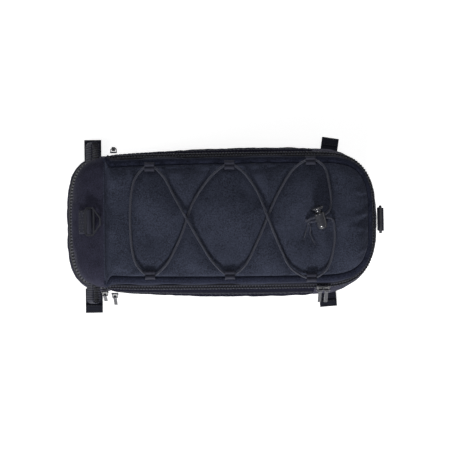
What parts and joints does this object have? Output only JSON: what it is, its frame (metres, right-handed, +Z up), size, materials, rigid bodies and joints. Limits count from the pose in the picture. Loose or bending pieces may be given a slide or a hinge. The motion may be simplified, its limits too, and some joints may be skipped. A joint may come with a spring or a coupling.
{
  "type": "bicycle rear rack trunk bag",
  "caption": "Soft box-shaped bag for a bicycle's rear rack, with a zipped padded lid, elastic cord lacing, zipped pockets, carrying rings and rack straps",
  "frame": {"origin": "middle of the flat underside that rests on the rack", "axes": "+X to the rounded front end, +Y to the left side, +Z up"},
  "size_m": [0.3429, 0.204, 0.1699],
  "materials": {
    "lid_fabric": "woven polyester, matt, slight sheen",
    "body_fabric": "woven polyester, matt",
    "lining": "thin smooth nylon lining",
    "foam": "closed-cell foam sheet",
    "board": "stiffening board",
    "webbing": "ribbed nylon webbing",
    "zip_tape": "nylon zip tape and coil",
    "ring_plastic": "satin black moulded plastic",
    "lock_plastic": "glossy black moulded plastic",
    "black_metal": "glossy black enamelled zinc",
    "cord": "braided cover on elastic cord",
    "steel": "bright spring wire"
  },
  "bodies": {
    "bag": {"base_panel": "body_fabric", "base_board": "board", "floor_lining": "lining", "body_lining": "lining", "left_wall": "body_fabric", "right_wall": "body_fabric", "front_wall": "body_fabric", "rear_wall": "body_fabric", "left_pocket_panel": "body_fabric", "right_pocket_panel": "body_fabric", "left_pocket_zip": "zip_tape", "right_pocket_zip": "zip_tape", "rear_pocket_panel": "body_fabric", "rear_pocket_zip": "zip_tape", "rear_top_panel": "body_fabric", "body_zip": "zip_tape", "left_zip_grip": "webbing", "right_zip_grip": "webbing", "rear_ring_patch": "webbing", "front_ring_patch": "webbing"},
    "lid": {"lid_panel": "lid_fabric", "lid_foam": "foam", "lid_lining": "lining", "lid_gusset": "lid_fabric", "lid_zip": "zip_tape", "rear_left_loop": "webbing", "rear_right_loop": "webbing", "middle_left_loop": "webbing", "middle_right_loop": "webbing", "front_left_loop": "webbing", "front_right_loop": "webbing", "elastic_cord": "cord", "cord_knot": "cord", "lock_barrel": "lock_plastic", "lock_spring": "steel"},
    "plunger": {"lock_plunger": "lock_plastic"},
    "rear_ring": {"rear_ring_webbing": "webbing", "rear_d_ring": "ring_plastic"},
    "front_ring": {"front_ring_webbing": "webbing", "front_d_ring": "ring_plastic"},
    "lid_rear_slider_body": {"lid_rear_slider": "black_metal"},
    "lid_rear_pull_body": {"lid_rear_pull": "black_metal"},
    "lid_front_slider_body": {"lid_front_slider": "black_metal"},
    "lid_front_pull_body": {"lid_front_pull": "black_metal"},
    "left_pocket_slider_body": {"left_pocket_slider": "black_metal"},
    "left_pocket_pull_body": {"left_pocket_pull": "black_metal"},
    "right_pocket_slider_body": {"right_pocket_slider": "black_metal"},
    "right_pocket_pull_body": {"right_pocket_pull": "black_metal"},
    "rear_pocket_slider_body": {"rear_pocket_slider": "black_metal"},
    "rear_pocket_pull_body": {"rear_pocket_pull": "black_metal"},
    "rear_left_strap_body": {"rear_left_strap": "webbing"},
    "rear_right_strap_body": {"rear_right_strap": "webbing"},
    "front_left_strap_body": {"front_left_strap": "webbing"},
    "front_right_strap_body": {"front_right_strap": "webbing"}
  },
  "joints": [
    {"name": "lid_fold", "type": "hinge", "parent": "bag", "child": "lid", "pos_m": [-0.1203, 0, 0.1505], "axis": [0, -1, 0], "range_deg": [0, 105]},
    {"name": "rear_ring_swing", "type": "hinge", "parent": "bag", "child": "rear_ring", "pos_m": [-0.1418, 0, 0.15077], "axis": [0, -1, 0], "range_deg": [0, 100]},
    {"name": "front_ring_swing", "type": "hinge", "parent": "bag", "child": "front_ring", "pos_m": [0.1704, 0, 0.112], "axis": [0, -1, 0], "range_deg": [0, 100]},
    {"name": "lid_rear_slider_travel", "type": "slide", "parent": "bag", "child": "lid_rear_slider_body", "axis": [-1, 0, 0], "range_m": [0, 0.205]},
    {"name": "lid_front_slider_travel", "type": "slide", "parent": "bag", "child": "lid_front_slider_body", "axis": [1, 0, 0], "range_m": [0, 0.012]},
    {"name": "left_pocket_slider_travel", "type": "slide", "parent": "bag", "child": "left_pocket_slider_body", "axis": [0.9995, 0.0311, 0], "range_m": [0, 0.13]},
    {"name": "right_pocket_slider_travel", "type": "slide", "parent": "bag", "child": "right_pocket_slider_body", "axis": [0.9995, -0.0311, 0], "range_m": [0, 0.13]},
    {"name": "rear_pocket_slider_travel", "type": "slide", "parent": "bag", "child": "rear_pocket_slider_body", "axis": [-1, 0, 0], "range_m": [0, 0.01]},
    {"name": "lid_rear_pull_swing", "type": "hinge", "parent": "lid_rear_slider_body", "child": "lid_rear_pull_body", "pos_m": [0.10335, -0.07513, 0.13407], "axis": [-1, 0, 0], "range_deg": [-15, 130]},
    {"name": "lid_front_pull_swing", "type": "hinge", "parent": "lid_front_slider_body", "child": "lid_front_pull_body", "pos_m": [0.11005, -0.07513, 0.13407], "axis": [-1, 0, 0], "range_deg": [-15, 130]},
    {"name": "left_pocket_pull_swing", "type": "hinge", "parent": "left_pocket_slider_body", "child": "left_pocket_pull_body", "pos_m": [-0.115, 0.08001, 0.10862], "axis": [1, 0, 0], "range_deg": [0, 130]},
    {"name": "right_pocket_pull_swing", "type": "hinge", "parent": "right_pocket_slider_body", "child": "right_pocket_pull_body", "pos_m": [-0.115, -0.08001, 0.10862], "axis": [-1, 0, 0], "range_deg": [-25, 130]},
    {"name": "rear_pocket_pull_swing", "type": "hinge", "parent": "rear_pocket_slider_body", "child": "rear_pocket_pull_body", "pos_m": [-0.1254, -0.07778, 0.11227], "axis": [-1, 0, 0], "range_deg": [-15, 75]},
    {"name": "lock_press", "type": "slide", "parent": "lid", "child": "plunger", "axis": [0.2712, -0.9222, -0.2756], "range_m": [0, 0.003], "stiffness_N_per_m": 400, "springref_m": -0.004, "deforming": ["lock_spring"]},
    {"name": "rear_left_strap_fold", "type": "hinge", "parent": "bag", "child": "rear_left_strap_body", "pos_m": [-0.15, 0.0732, 0.0034], "axis": [1, 0, 0], "range_deg": [-85, 60]},
    {"name": "rear_right_strap_fold", "type": "hinge", "parent": "bag", "child": "rear_right_strap_body", "pos_m": [-0.15, -0.0732, 0.0034], "axis": [-1, 0, 0], "range_deg": [-85, 60]},
    {"name": "front_left_strap_fold", "type": "hinge", "parent": "bag", "child": "front_left_strap_body", "pos_m": [0.1265, 0.0744, 0.0034], "axis": [0.9877, -0.1564, 0], "range_deg": [-85, 60]},
    {"name": "front_right_strap_fold", "type": "hinge", "parent": "bag", "child": "front_right_strap_body", "pos_m": [0.1235, -0.0757, 0.0034], "axis": [-0.9976, -0.0698, 0], "range_deg": [-85, 60]}
  ]
}
